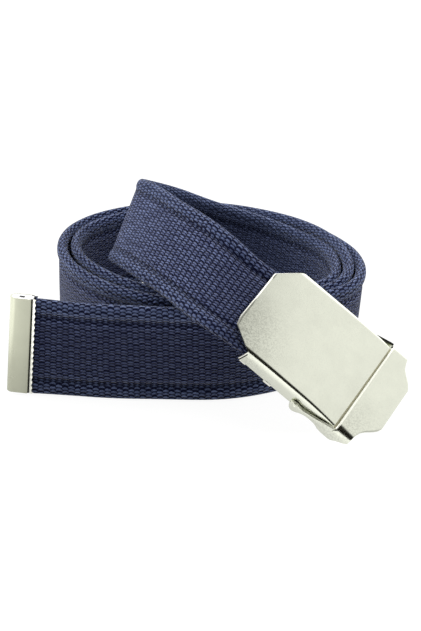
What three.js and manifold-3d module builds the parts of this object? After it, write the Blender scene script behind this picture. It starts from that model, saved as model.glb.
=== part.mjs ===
// Coiled canvas web belt with a flip-lever slide buckle. Millimetres, Z up, resting on z = 0.
// X runs to the right and Y away from the side that shows the buckle.
import * as THREE from "three";
import { mergeVertices } from "three/addons/utils/BufferGeometryUtils.js";
import Module from "manifold-3d";

const WEB_WIDTH = 38;
const CLEARANCE = 0.3;

// The route is laid out about the middle of the coil. This is the middle of the whole belt there.
const MIDDLE = { x: -1.8, y: -36.2 };

const CLOTH = { color: 0x2f3550, roughness: 0.95, metalness: 0 };
const METAL = { color: 0xd6d6c6, roughness: 0.35, metalness: 1 };

// The lifted end, from the buckle over the front of the coil, round the fold and down again.
// Columns: x, y, z of the middle of the webbing, then its top edge minus its bottom edge in x, y, z.
const LIFTED_ROWS = [
  [33.4, -91, 29.4, 20.7, 27.9, 15.5],
  [24.2, -88.2, 36.6, 20.7, 27.9, 15.5],
  [13.8, -83.7, 41.6, 19.6, 29.7, 13.4],
  [1.7, -74.6, 47.7, 18.2, 27.6, 18.3],
  [-9.1, -60.2, 50.9, 16.5, 25.5, 21.5],
  [-20, -42.5, 51.2, 16, 23, 23.5],
  [-28, -26, 50, 15, 20, 26.5],
  [-33.2, -10.5, 46.5, 13, 15, 30],
  [-29.8, 1, 41.2, 12, 10, 33],
  [-18, 10.5, 34.6, 11, 4, 35],
  [-2, 16, 27.2, 9, -1, 36],
  [16, 14, 22.4, 7, -4, 37],
  [33, 4, 19.3, 5, -4, 37.4],
  [45, -12, 18.9, 3, -4, 37.6],
];

// One turn of the coil, clockwise from the right. Each further turn lies one gap further out.
// Columns: x, y, lean of the top edge in x and y, gap to the next turn, lift of the inner turn.
const TURN_ROWS = [
  [47.8, -29.5, 3, -2, 4.7, 1.5],
  [44.3, -46, 3, -2, 4.7, 0.5],
  [29, -57.5, 2, -2, 4.7, 0],
  [6, -61, 0, -1, 5.5, 0],
  [-18.3, -56.4, 0, -1, 7.1, 0],
  [-37.2, -41.2, 0.4, -1, 7, 0],
  [-50.1, -18.4, 0.8, -3, 5.8, 0],
  [-50.7, 6, 1.6, -5, 5.4, 0],
  [-37.7, 23.5, 1.4, -7, 5.5, 0],
  [-10, 32, 1, -7, 4.7, 1.5],
  [21.5, 18, 1, -6, 4.7, 2.7],
  [41, -5, 2, -4, 4.4, 3],
];
const TURN_STEPS = 27;
const COIL_CENTRE = new THREE.Vector2(-1, -20);

// The free end, which leaves the coil to the left.
// Columns: x, y, lean of the top edge in x and y, lift of the bottom edge.
const FREE_ROWS = [
  [8, -77, 0, -2, 0],
  [-18, -77.2, 0, -1, 0],
  [-42, -75.2, 0, 0, 0],
  [-58, -72.6, 2, 0, 0.2],
  [-65.5, -71.8, 2.8, 0, 0.5],
  [-72.5, -71.2, 2.8, 0, 0.6],
];

// Half of the webbing's section. Columns: distance across from the middle line, half thickness.
const SECTION = [
  [19, 0.9],
  [17.7, 2.1],
  [15.2, 1.9],
  [12.6, 1.35],
  [-12.6, 1.35],
  [-15.2, 1.9],
  [-17.7, 2.1],
  [-19, 0.9],
];
// Inside the buckle and the tip the rolled edges are pressed to this half thickness.
const PRESSED_HALF = 1.6;
const PRESSED_LENGTH = { buckle: 22, tip: 9, blend: 7 };
const STEPS_PER_ROW = { fold: 6, plain: 3 };
const FOLD_ROWS = { first: 5, last: 9 };

// The buckle's own frame: x along from the belt end, y across towards the far edge, z out of the face.
const BUCKLE_PLACE = new THREE.Vector3(28.15, -72.52, 55.54);
const BUCKLE_TURN = new THREE.Euler(
  THREE.MathUtils.degToRad(30.6),
  THREE.MathUtils.degToRad(36.7),
  THREE.MathUtils.degToRad(-17.1),
  "ZYX",
);
const SHEET = 0.9;
const FRAME = { width: 41.6, length: 49.7, chamferLong: 8.7, chamferFar: 8.7, chamferNear: 6.8 };
// The side wall's outline: distance along, depth under the face.
const WALL_OUTLINE = [
  [8.9, 0.5],
  [8.9, 7.3],
  [20.3, 7.5],
  [20.3, 6.1],
  [24.2, 6.1],
  [24.2, 7.5],
  [33, 7.7],
  [44, 7.2],
  [49.7, 4.6],
  [49.7, 0.5],
];
const PIVOT = { along: 34.6, depth: 4.9, pinRadius: 1, headRadius: 1.6, headHeight: 0.7 };
const LEVER = { overhang: 1.2, start: 50.3 };
// Half of the lever plate's end: distance along, distance in from the lever's outer side.
const LEVER_END = [
  [57.3, 0],
  [57.4, 2.5],
  [58.3, 5.5],
  [60, 7.6],
  [62.6, 9.9],
  [63.9, 12.4],
];
// The lever ear's outline: distance along, depth under the face.
const EAR_OUTLINE = [
  [50.3, 0.5],
  [49.6, 1.2],
  [38, 4.1],
  [36.4, 3.4],
  [34.9, 2.8],
  [33.2, 3.2],
  [32.4, 4.6],
  [32.4, 6.6],
  [33.4, 9.1],
  [35.6, 9.2],
  [38.9, 7.3],
  [43.8, 6.1],
  [45.7, 8.1],
  [51.7, 8.6],
  [53.6, 6.7],
  [56.2, 4.4],
  [57.3, 3],
  [57.3, 0.5],
];
const CAM = { inset: 1.6, bodyRadius: 2.3, toothRadius: 3.6, teeth: 5, firstAngle: 50, lastAngle: 115 };
const JAW = { start: 12.5, end: 25.5, top: 6.4, bottom: 7.3, tabStart: 20.7, tabEnd: 23.8, teeth: 12 };
const TIP = { reach: 6.6, sheet: 0.6, over: 0.2 };

const wasm = await Module();
wasm.setup();

// Manifold solid of a three.js geometry, and back.
function solid(geometry) {
  const plain = geometry.index ? geometry.toNonIndexed() : geometry.clone();
  plain.deleteAttribute("normal");
  plain.deleteAttribute("uv");
  const merged = mergeVertices(plain, 1e-4);
  return new wasm.Manifold(
    new wasm.Mesh({
      numProp: 3,
      vertProperties: merged.attributes.position.array,
      triVerts: new Uint32Array(merged.index.array),
    }),
  );
}

function geometryOf(body) {
  const mesh = body.getMesh();
  const geometry = new THREE.BufferGeometry();
  geometry.setAttribute("position", new THREE.BufferAttribute(mesh.vertProperties, 3));
  geometry.setIndex(new THREE.BufferAttribute(mesh.triVerts, 1));
  const split = geometry.toNonIndexed();
  split.computeVertexNormals();
  return split;
}

function joined(geometries) {
  return geometries.map(solid).reduce((whole, next) => whole.add(next));
}

// Natural cubic spline through rows of numbers at the given stations.
function spline(at, rows) {
  const last = at.length - 1;
  const gap = at.slice(1).map((station, i) => station - at[i]);
  const zeros = rows[0].map(() => 0);
  const ratio = [0];
  const part = [zeros];
  for (let i = 1; i < last; i++) {
    const divisor = 2 * (gap[i - 1] + gap[i]) - gap[i - 1] * ratio[i - 1];
    ratio[i] = gap[i] / divisor;
    part[i] = rows[i].map((value, k) => {
      const change = (rows[i + 1][k] - value) / gap[i] - (value - rows[i - 1][k]) / gap[i - 1];
      return (6 * change - gap[i - 1] * part[i - 1][k]) / divisor;
    });
  }
  const bend = rows.map(() => zeros);
  for (let i = last - 1; i > 0; i--) {
    bend[i] = part[i].map((value, k) => value - ratio[i] * bend[i + 1][k]);
  }
  return (station) => {
    let i = 0;
    while (i < last - 1 && station > at[i + 1]) i++;
    const near = (at[i + 1] - station) / gap[i];
    const far = 1 - near;
    const square = (gap[i] * gap[i]) / 6;
    return zeros.map(
      (_, k) =>
        near * rows[i][k] +
        far * rows[i + 1][k] +
        ((near ** 3 - near) * bend[i][k] + (far ** 3 - far) * bend[i + 1][k]) * square,
    );
  };
}

function rise(leanX, leanY) {
  return Math.sqrt(WEB_WIDTH ** 2 - leanX ** 2 - leanY ** 2);
}

// All rows of the route: middle x, y, z and top edge minus bottom edge in x, y, z.
function routeRows() {
  const rows = LIFTED_ROWS.map((row) => [...row]);
  const turns = TURN_ROWS.length;
  for (let step = 0; step < TURN_STEPS; step++) {
    const [x, y, leanX, leanY, gap, lift] = TURN_ROWS[step % turns];
    const before = TURN_ROWS[(step + turns - 1) % turns];
    const after = TURN_ROWS[(step + 1) % turns];
    const here = new THREE.Vector2(x, y);
    const outward = new THREE.Vector2(after[1] - before[1], before[0] - after[0]).normalize();
    if (outward.dot(here.clone().sub(COIL_CENTRE)) < 0) outward.negate();
    here.addScaledVector(outward, (gap * step) / turns);
    const height = rise(leanX, leanY);
    const lifted = step > turns - 4 && step < turns + 2 ? lift : 0;
    rows.push([here.x, here.y, height / 2 + lifted, leanX, leanY, height]);
  }
  for (const [x, y, leanX, leanY, lift] of FREE_ROWS) {
    const height = rise(leanX, leanY);
    rows.push([x, y, height / 2 + lift, leanX, leanY, height]);
  }
  return rows;
}

// The webbing: its section swept along the route.
function webbing() {
  const rows = routeRows();
  const at = [0];
  for (let i = 1; i < rows.length; i++) {
    const [dx, dy, dz] = [0, 1, 2].map((k) => rows[i][k] - rows[i - 1][k]);
    at.push(at[i - 1] + Math.hypot(dx, dy, dz));
  }
  const route = spline(at, rows);
  const length = at[at.length - 1];
  const stations = [];
  for (let i = 0; i < rows.length - 1; i++) {
    const inFold = i >= FOLD_ROWS.first && i < FOLD_ROWS.last;
    const steps = inFold ? STEPS_PER_ROW.fold : STEPS_PER_ROW.plain;
    for (let k = 0; k < steps; k++) stations.push(at[i] + ((at[i + 1] - at[i]) * k) / steps);
  }
  stations.push(length);

  const sides = [...SECTION.map((p) => [p[0], p[1]]), ...SECTION.map((p) => [p[0], -p[1]]).reverse()];
  const points = [];
  for (const station of stations) {
    const row = route(station);
    const centre = new THREE.Vector3(row[0] - MIDDLE.x, row[1] - MIDDLE.y, row[2]);
    const across = new THREE.Vector3(row[3], row[4], row[5]).divideScalar(WEB_WIDTH);
    const before = route(Math.max(station - 0.5, 0));
    const after = route(Math.min(station + 0.5, length));
    const along = new THREE.Vector3(after[0] - before[0], after[1] - before[1], after[2] - before[2]);
    const normal = along.cross(across).normalize();
    const fromBuckle = (station - PRESSED_LENGTH.buckle) / PRESSED_LENGTH.blend;
    const fromTip = (length - PRESSED_LENGTH.tip - station) / PRESSED_LENGTH.blend;
    const free = THREE.MathUtils.clamp(Math.min(fromBuckle, fromTip), 0, 1);
    for (const [distance, half] of sides) {
      const pressed = Math.sign(half) * Math.min(Math.abs(half), PRESSED_HALF);
      const point = centre.clone().addScaledVector(across, distance);
      point.addScaledVector(normal, THREE.MathUtils.lerp(pressed, half, free));
      // The edge that stands on the ground is pressed flat on it.
      points.push(point.x, point.y, Math.max(point.z, 0));
    }
  }

  const count = sides.length;
  const triangles = [];
  const quad = (a, b, c, d) => triangles.push(a, b, c, a, c, d);
  for (let i = 0; i < stations.length - 1; i++) {
    for (let k = 0; k < count; k++) {
      const next = (k + 1) % count;
      const [here, there] = [i * count, (i + 1) * count];
      quad(here + k, here + next, there + next, there + k);
    }
  }
  const end = (stations.length - 1) * count;
  for (let k = 0; k < count / 2 - 1; k++) {
    const [a, b, c, d] = [k, k + 1, count - 2 - k, count - 1 - k];
    quad(a, d, c, b);
    quad(end + a, end + b, end + c, end + d);
  }
  const geometry = new THREE.BufferGeometry();
  geometry.setAttribute("position", new THREE.Float32BufferAttribute(points, 3));
  geometry.setIndex(triangles);
  return geometry;
}

function shapeOf(outline) {
  return new THREE.Shape(outline.map(([x, y]) => new THREE.Vector2(x, y)));
}

function extruded(shape, depth) {
  return new THREE.ExtrudeGeometry(shape, { depth, bevelEnabled: false, curveSegments: 10 });
}

// A flat sheet in the buckle's frame: outline in along and across, between two depths under the face.
function plate(outline, top, bottom) {
  const flipped = outline.map(([along, across]) => [along, -across]);
  return extruded(shapeOf(flipped), bottom - top).translate(0, 0, -bottom);
}

// An upright sheet in the buckle's frame: outline in along and depth, between two distances across.
function upright(outline, near, far, hole) {
  const shape = shapeOf(outline.map(([along, depth]) => [along, -depth]));
  if (hole) {
    const path = new THREE.Path();
    path.absarc(hole.along, -hole.depth, hole.radius, 0, Math.PI * 2);
    shape.holes.push(path);
  }
  return extruded(shape, far - near).rotateX(Math.PI / 2).translate(0, -near, 0);
}

// A cross bar in the buckle's frame, round about the given place.
function bar(radius, along, depth, near, far) {
  const rod = new THREE.CylinderGeometry(radius, radius, far - near, 24);
  return rod.translate(along, -(near + far) / 2, -depth);
}

const PIVOT_HOLE = { along: PIVOT.along, depth: PIVOT.depth, radius: PIVOT.pinRadius + CLEARANCE };

function buckleFrame() {
  const { width, length, chamferLong, chamferFar, chamferNear } = FRAME;
  const face = plate(
    [
      [0, chamferFar],
      [0, width - chamferNear],
      [chamferLong, width],
      [length, width],
      [length, 0],
      [chamferLong, 0],
    ],
    0,
    SHEET,
  );
  const near = upright(WALL_OUTLINE, width - SHEET, width, PIVOT_HOLE);
  const far = upright(WALL_OUTLINE, 0, SHEET, PIVOT_HOLE);
  return geometryOf(joined([face, near, far]));
}

function lever() {
  const outside = FRAME.width + LEVER.overhang;
  const outline = [
    [LEVER.start, -LEVER.overhang],
    ...LEVER_END.map(([along, inward]) => [along, inward - LEVER.overhang]),
    ...LEVER_END.map(([along, inward]) => [along, outside - inward]).reverse(),
    [LEVER.start, outside],
  ];
  const face = plate(outline, 0, SHEET);
  const near = upright(EAR_OUTLINE, outside - SHEET, outside, PIVOT_HOLE);
  const far = upright(EAR_OUTLINE, -LEVER.overhang, SHEET - LEVER.overhang, PIVOT_HOLE);
  return geometryOf(joined([face, near, far]));
}

// The toothed cam between the walls, with its teeth towards the face when the lever is shut.
function leverCam() {
  const shape = new THREE.Shape();
  const { along, depth } = PIVOT;
  const place = (angle, radius) => {
    const turn = THREE.MathUtils.degToRad(angle);
    return [along + radius * Math.cos(turn), -depth + radius * Math.sin(turn)];
  };
  const pitch = (CAM.lastAngle - CAM.firstAngle) / CAM.teeth;
  shape.moveTo(...place(CAM.firstAngle - pitch, CAM.bodyRadius));
  for (let i = 0; i < CAM.teeth; i++) {
    shape.lineTo(...place(CAM.firstAngle + pitch * i, CAM.toothRadius - 0.7));
    shape.lineTo(...place(CAM.firstAngle + pitch * (i + 0.5), CAM.toothRadius));
  }
  shape.lineTo(...place(CAM.lastAngle, CAM.toothRadius - 0.7));
  for (let angle = CAM.lastAngle + 25; angle < 360 + CAM.firstAngle - pitch - 10; angle += 15) {
    shape.lineTo(...place(angle, CAM.bodyRadius));
  }
  const bore = new THREE.Path();
  bore.absarc(along, -depth, PIVOT_HOLE.radius, 0, Math.PI * 2);
  shape.holes.push(bore);
  const long = FRAME.width - 2 * CAM.inset;
  return extruded(shape, long).rotateX(Math.PI / 2).translate(0, -CAM.inset, 0);
}

// A pivot rivet: its head outside the ear and its shank through ear and wall into the cam.
function rivet(near) {
  const { along, depth, pinRadius, headRadius, headHeight } = PIVOT;
  const outside = LEVER.overhang + CLEARANCE;
  const shankEnd = 4;
  const spans = [
    [headRadius, -outside - headHeight, -outside],
    [pinRadius, -outside - headHeight / 2, shankEnd],
  ];
  const parts = spans.map(([radius, from, to]) => {
    const [start, end] = near ? [FRAME.width - to, FRAME.width - from] : [from, to];
    return bar(radius, along, depth, start, end);
  });
  return geometryOf(joined(parts));
}

// The jaw that grips the strap's end from behind, with a tab through each wall's notch.
function clampJaw() {
  const inset = SHEET + CLEARANCE;
  const { start, end, top, bottom, tabStart, tabEnd, teeth } = JAW;
  const edge = [];
  const pitch = (FRAME.width - 2 * inset) / teeth;
  for (let i = 0; i < teeth; i++) {
    edge.push([end, inset + pitch * i], [end + 0.9, inset + pitch * (i + 0.5)]);
  }
  const body = plate(
    [[start, inset], ...edge, [end, FRAME.width - inset], [start, FRAME.width - inset]],
    top,
    bottom,
  );
  const tabs = plate(
    [
      [tabStart, -0.2],
      [tabEnd, -0.2],
      [tabEnd, FRAME.width + 0.2],
      [tabStart, FRAME.width + 0.2],
    ],
    top,
    bottom + 0.4,
  );
  return geometryOf(joined([body, tabs]));
}

// The tip: a sheet folded round the webbing's free end. Its own x runs from that end into the belt.
function beltTip() {
  const inner = PRESSED_HALF + CLEARANCE;
  const outer = inner + TIP.sheet;
  const height = WEB_WIDTH / 2 + TIP.over;
  const bend = new THREE.Shape();
  bend.moveTo(TIP.reach, outer);
  bend.absarc(0, 0, outer, Math.PI / 2, (Math.PI * 3) / 2);
  bend.lineTo(TIP.reach, -outer);
  bend.lineTo(TIP.reach, -inner);
  bend.absarc(0, 0, inner, (Math.PI * 3) / 2, Math.PI / 2, true);
  bend.lineTo(TIP.reach, inner);
  bend.lineTo(TIP.reach, outer);
  return extruded(bend, 2 * height).translate(0, 0, -height);
}

const group = new THREE.Group();

function place(name, geometry, look, parent) {
  const mesh = new THREE.Mesh(geometry, new THREE.MeshStandardMaterial(look));
  mesh.name = name;
  parent.add(mesh);
}

const buckle = new THREE.Group();
buckle.position.set(BUCKLE_PLACE.x - MIDDLE.x, BUCKLE_PLACE.y - MIDDLE.y, BUCKLE_PLACE.z);
buckle.rotation.copy(BUCKLE_TURN);
group.add(buckle);

const tip = new THREE.Group();
const [tipEnd, tipBefore] = [FREE_ROWS.at(-1), FREE_ROWS.at(-2)];
const tipHeight = rise(tipEnd[2], tipEnd[3]);
const tipUp = new THREE.Vector3(tipEnd[2], tipEnd[3], tipHeight).normalize();
const tipIn = new THREE.Vector3(tipBefore[0] - tipEnd[0], tipBefore[1] - tipEnd[1], 0);
const tipSide = new THREE.Vector3().crossVectors(tipUp, tipIn).normalize();
tipIn.crossVectors(tipSide, tipUp);
tip.matrixAutoUpdate = false;
tip.matrix.makeBasis(tipIn, tipSide, tipUp);
tip.matrix.setPosition(
  tipEnd[0] - MIDDLE.x,
  tipEnd[1] - MIDDLE.y,
  tipHeight / 2 + tipEnd[4] + TIP.over,
);
group.add(tip);

place("webbing", webbing(), CLOTH, group);
place("buckle_frame", buckleFrame(), METAL, buckle);
place("lever", lever(), METAL, buckle);
place("lever_cam", leverCam(), METAL, buckle);
place("rivet_near", rivet(true), METAL, buckle);
place("rivet_far", rivet(false), METAL, buckle);
place("clamp_jaw", clampJaw(), METAL, buckle);
place("belt_tip", beltTip(), METAL, tip);

export default group;
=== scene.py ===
"""Coiled canvas web belt with a flip-lever slide buckle, dressed on its CAD frame.

The scene is in metres. The tables of the route and of the buckle are in millimetres, as the parts
are measured, and are brought to metres where the meshes are laid out.
"""

import math

import bpy
import numpy as np
from mathutils import Euler, Matrix, Vector


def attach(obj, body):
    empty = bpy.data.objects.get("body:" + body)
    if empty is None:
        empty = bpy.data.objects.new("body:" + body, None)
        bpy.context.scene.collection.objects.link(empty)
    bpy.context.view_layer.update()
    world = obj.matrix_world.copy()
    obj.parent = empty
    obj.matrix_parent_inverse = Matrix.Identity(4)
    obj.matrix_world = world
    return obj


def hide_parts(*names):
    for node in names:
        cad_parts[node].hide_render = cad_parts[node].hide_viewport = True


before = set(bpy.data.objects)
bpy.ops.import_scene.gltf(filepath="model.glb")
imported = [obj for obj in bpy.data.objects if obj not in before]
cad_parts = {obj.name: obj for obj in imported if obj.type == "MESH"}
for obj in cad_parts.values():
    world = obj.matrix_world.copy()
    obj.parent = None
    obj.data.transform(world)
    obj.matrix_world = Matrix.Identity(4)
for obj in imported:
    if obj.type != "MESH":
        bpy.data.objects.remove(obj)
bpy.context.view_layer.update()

MM = 0.001
# Points nearer than these are one, in metres.
WELD = 2e-6
FINE_WELD = 1e-6
# A face looks to a side if that part of its normal is larger than this.
FACING = 0.5
# The camera: height and focal length in pixels, sensor and place in millimetres, degrees down.
IMAGE_HEIGHT = 631
FOCAL_PIXELS = 1500
SENSOR = 36
CAMERA_PLACE = (1.8, -541.6, 257.25)
CAMERA_DOWN = 24

WEB_WIDTH = 38
# This place in the tables of the route and of the buckle is the scene's origin.
MIDDLE = np.array([-1.8, -36.2, 0.0])

# From the buckle over the front of the coil, round the fold and down again.
# Columns: x, y, z of the middle of the webbing, then its top edge minus its bottom edge in x, y, z.
LIFTED_ROWS = [
    (33.4, -91, 29.4, 20.7, 27.9, 15.5),
    (24.2, -88.2, 36.6, 20.7, 27.9, 15.5),
    (13.8, -83.7, 41.6, 19.6, 29.7, 13.4),
    (1.7, -74.6, 47.7, 18.2, 27.6, 18.3),
    (-9.1, -60.2, 50.9, 16.5, 25.5, 21.5),
    (-20, -42.5, 51.2, 16, 23, 23.5),
    (-28, -26, 50, 15, 20, 26.5),
    (-33.2, -10.5, 46.5, 13, 15, 30),
    (-29.8, 1, 41.2, 12, 10, 33),
    (-18, 10.5, 34.6, 11, 4, 35),
    (-2, 16, 27.2, 9, -1, 36),
    (16, 14, 22.4, 7, -4, 37),
    (33, 4, 19.3, 5, -4, 37.4),
    (45, -12, 18.9, 3, -4, 37.6),
]
# One turn of the coil. Columns: x, y, lean of the top edge in x and y, gap to the next turn, lift
# of the inner turn.
TURN_ROWS = [
    (47.8, -29.5, 3, -2, 4.7, 1.5),
    (44.3, -46, 3, -2, 4.7, 0.5),
    (29, -57.5, 2, -2, 4.7, 0),
    (6, -61, 0, -1, 5.5, 0),
    (-18.3, -56.4, 0, -1, 7.1, 0),
    (-37.2, -41.2, 0.4, -1, 7, 0),
    (-50.1, -18.4, 0.8, -3, 5.8, 0),
    (-50.7, 6, 1.6, -5, 5.4, 0),
    (-37.7, 23.5, 1.4, -7, 5.5, 0),
    (-10, 32, 1, -7, 4.7, 1.5),
    (21.5, 18, 1, -6, 4.7, 2.7),
    (41, -5, 2, -4, 4.4, 3),
]
TURN_STEPS = 27
# The steps of the winding in which the inner turn is lifted.
LIFT_STEPS = range(9, 14)
COIL_CENTRE = np.array([-1.0, -20.0])
# The free end. Columns: x, y, lean of the top edge in x and y, lift of the bottom edge.
FREE_ROWS = [
    (8, -77, 0, -2, 0),
    (-18, -77.2, 0, -1, 0),
    (-42, -75.2, 0, 0, 0),
    (-58, -72.6, 2, 0, 0.2),
    (-65.5, -71.8, 2.8, 0, 0.5),
    (-72.5, -71.2, 2.8, 0, 0.6),
]

# Half of the webbing's section. Columns: distance across from the middle line, half thickness.
HALF_SECTION = [
    (19.0, 0.0), (18.86, 0.78), (18.4, 1.45), (17.6, 1.96), (16.6, 2.16),
    (15.5, 2.14), (14.5, 1.88), (13.7, 1.42), (13.1, 1.05), (12.6, 0.92),
    (12.1, 1.12), (11.4, 1.4), (10.2, 1.5), (8.2, 1.52), (5.6, 1.55),
    (2.8, 1.57), (0.0, 1.58),
]
# The stitched groove: its place across, in the section and measured along the cloth, and its depth.
GROOVE_ACROSS = 12.6
GROOVE_CLOTH = 12.9
GROOVE_HALF_WIDE = 1.0
STITCH_DEEP = 0.42
STITCH_STATIONS = 3
# Between two stitches the groove is only this share as deep and as dark.
STITCH_BRIDGE = 0.25
# The step between two stations along the strap, and how far off its direction is read.
STATION_STEP = 0.8
TANGENT_REACH = 0.5
# The greatest half thickness where the clamp and the tip press the strap, and over what lengths.
PRESSED_HALF = 1.6
PRESSED_LENGTH = {"buckle": 22, "tip": 9, "blend": 7}
# The rolled edges swell and narrow: where they start across, over what distance, and how much.
ROLL_FROM = 13.2
ROLL_BLEND = 2.0
ROLL_SWELL = 0.05
ROLL_PINCH = 0.07
SWELL_SEED = 7
SWELL_STATIONS = 12
FLOOR_CLEAR = 0.05
# Where the webbing is stretched round its fold: reach along and across, and least half thickness.
FOLD_AT = 118
FOLD_REACH = 34
FOLD_ACROSS = 18
FOLD_HALF = 1.62
# The weave is stretched along the strap towards its fold. Columns: distance along, stretch.
STRETCH = [(30, 1), (55, 1.22), (85, 1.34), (112, 1.3), (130, 1)]

# A rib's length along the strap and its height across it.
CELL_LONG = 2.2
CELL_HIGH = 1.18
# How much wider the ribs lie apart across the rolled edges.
ROLL_WIDER = 1.2
# Noise, as a scale: the ribs' short and long wander, fibres, the strands of a rib and blotches.
WANDER_SCALE = 240.0
DRIFT_SCALE = 90.0
FUZZ_SCALE = 5200.0
STRAND_SCALE = 2600.0
BLOTCH_SCALE = 70.0
# How far the ribs wander along and across, in cells.
WANDER = (0.35, 0.6)
DRIFT = (0.5, 0.6)
# A rib's arch over its neighbours, how soon it falls off to its sides and ends, and the gap of a pair.
RIB_ARCH = 0.9
RIB_SIDES = 3.0
RIB_ENDS = 1.6
RIB_ENDS_OPENED = 0.9
PAIR_GAP = (0.26, 0.5)
# The ribs stand apart up to the second of these distances along, and are closed again at the first.
OPENED = (135, 105)
# Where the stitch holes in the groove are painted in shade: from the middle of a rib to its ends, and
# across the groove.
HOLE_SHADE_REACH = (0.05, 0.4)
HOLE_SHADE_WIDE = (1.7, 0.5)
# Zones of the cloth, each from where it starts to where it is full: the back of the coil in y and x,
# painted lighter, the strap before its fold, the coil past it, the thin middle, painted in shade on
# the coil, and the strap's shaded end, painted in shade.
BACK_Y = (-15, 40)
BACK_X = (-32, -8)
STRAP_ALONG = (60, 90)
COIL_ALONG = (128, 150)
THIN_ACROSS = (13, 8)
SHADED_ALONG = (55, 14)
# The colours of two ribs, how far they differ, and the colours over them, each with its full share.
RIB_COLOURS = ((0.042, 0.052, 0.128), (0.134, 0.167, 0.32))
RIB_CONTRAST = 0.9
# Over the rolled edges the ribs are painted lighter: a painted highlight of the light from above.
ROLL_HIGHLIGHT_TINT = (0.3, (0.1, 0.142, 0.25))
STRAND_TINT = (0.9, (0.2, 0.246, 0.42))
STRAND_FROM = 0.3
BLOTCH_TINT = (0.5, (0.04, 0.046, 0.11))
BLOTCH_FROM = 0.4
SHADED_TINT = (0.4, (0.02, 0.024, 0.07))
# The stitch holes are painted near black: painted shade in the groove.
STITCH_HOLE_SHADE_TINT = (0.85, (0.001, 0.0015, 0.009))
# The coil's thin middle is painted darker: painted shade in its hollow.
COIL_MIDDLE_SHADE_TINT = (0.45, (0.02, 0.024, 0.06))
# The back of the coil is painted lighter: painted light on the side that catches it.
BACK_LIGHT_TINT = (0.3, (0.125, 0.156, 0.275))
# The gaps between the ribs, painted in shade: their colour, the rib heights at their ends, and how far
# they are filled, which lifts that painted shade at the back and on the strap.
RIB_GAP_SHADE = (0.005, 0.0065, 0.027)
GAP_HEIGHT = (0.22, 0.85)
BACK_FILLED = 0.25
STRAP_FILLED = 0.12
# How deep the weave is, and the shares of its ribs, strands and fibres in that.
CLOTH_RELIEF = 0.85
RIB_RELIEF = 0.8
STRAND_RELIEF = 0.2
FUZZ_RELIEF = 0.16

NICKEL_COLOUR = (0.795, 0.812, 0.705)
# The tip is a darker, a little greener copy of the nickel: painted shade, with a greener tone.
TIP_SHADE_COLOUR = (0.47, 0.48, 0.38)
DULL_COLOUR = (0.75, 0.76, 0.65)
# A whiter copy of the nickel: a painted highlight on lips, edges and the clamp's plate.
HIGHLIGHT_COLOUR = (0.97, 0.97, 0.88)
# A darker olive copy of the nickel: painted shade in the gap between the plate and the lever.
GAP_SHADE_NICKEL_COLOUR = (0.66, 0.63, 0.47)
# A near black copy of the nickel: painted shade in the tip's groove, behind the wall's end and on the
# far ear's rim.
SHADE_NICKEL_COLOUR = (0.04, 0.04, 0.034)
# The metal's stains and specks, and its patches of painted shade: scale and range of their noise,
# share of the colour left.
STAIN = {"scale": 120.0, "range": (0.35, 0.75), "left": 0.96, "rougher": 0.04}
SPECK = {"scale": 2600.0, "range": (0.5, 0.8), "left": 0.72}
SHADE_PATCHES = {"scale": 1300.0, "range": (0.44, 0.58), "left": 0.5, "least": 0.15}
# How deep its grain is, and how strongly that shows without and with specks.
METAL_RELIEF = 0.03
METAL_GRAIN = (0.1, 0.3)
# The face and the lever get patches of painted shade round these places along and across the buckle.
FACE_SHADE = {"at": (0, 37), "reach": 26, "dark": 0.74}
LEVER_SHADE = {"at": (50, 42), "reach": 22, "dark": 0.45}
# The tip is darker to its right, between these places in x.
SHADED_TIP = {"from": -71, "to": -65, "dark": 0.26}

# The buckle's own frame: x along from the belt end, y across from the far edge (turned round), z up
# out of the face.
BUCKLE_PLACE = np.array([28.15, -72.52, 55.54])
BUCKLE_TURN = (30.6, 36.7, -17.1)
SHEET = 0.9
FRAME_WIDTH = 41.6
FRAME_LENGTH = 49.7
# The cut corners of the plate: how far they reach along and across.
CHAMFER_LONG = {"far": 8.7, "near": 9.9}
CHAMFER_FAR = 8.7
CHAMFER_NEAR = 6.8
# How much nearer to the belt end the near wall starts at its lower edge.
WALL_SLANT = 1.2
# At the belt end and at the lever end: the folds' radii and the far wall's place across.
FAR_BEND = (2.7, 1.2)
NEAR_BEND = (2.1, 1.2)
FAR_WALL = (-0.5, 0.4)
# The lower part of the near fold is drawn out, from this share of its radius down, this many times.
NEAR_FOLD_FROM = 0.29
NEAR_FOLD_DEEPER = 2.2
# The plate sags towards its two ends. Columns: where that starts and ends along, how far it sags at
# the end's far and near corner.
SAGS = [(24, 0, 0.2, 1.1), (34, FRAME_LENGTH, 0.9, 1.6)]
# The chamfer along the belt end of the face, and the depth of its lowest face.
EDGE_DROP = 0.44
EDGE_DEPTH = 3
# The lower edge of the side walls. Columns: distance along, depth under the face.
WALL_EDGE = [
    (8.7, 7.2), (9.5, 7.4), (20.3, 7.5), (24.2, 7.6), (33, 7.7), (44, 7.2), (49.7, 4.6),
]
# Rows of the channel's grid, as a count and as one more share of its length near the lever.
FRAME_ROWS = 27
FRAME_LAST_ROW = 0.99
# The painted highlight on the edge at the wall's end and the line of painted shade behind it: its
# columns, and the shares where they end.
WALL_COLUMNS = 7
WALL_RIM = (0.009, 0.021)
SAME_SHARE = 2e-6
# The tongue of the frame's sheet under the start of the lever's plate. Distances along, across.
TONGUE_ALONG = (48.4, 51.8)
TONGUE_ACROSS = (1.0, 40.9)
TONGUE_COLUMNS = 9
TONGUE_OVERLAP = 0.05
# The lever's hinge, and its rivets' heads with their rings from outside in. Columns: width, height.
PIVOT_ALONG = 34.6
PIVOT_DEPTH = 4.9
RIVET_RADIUS = 0.95
RIVET_HEAD = 0.3
RIVET_GAP = 0.05
RIVET_RINGS = [(0.22, 0.06), (0.18, 0), (0.1, -0.18), (0.15, 0.08)]
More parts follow.
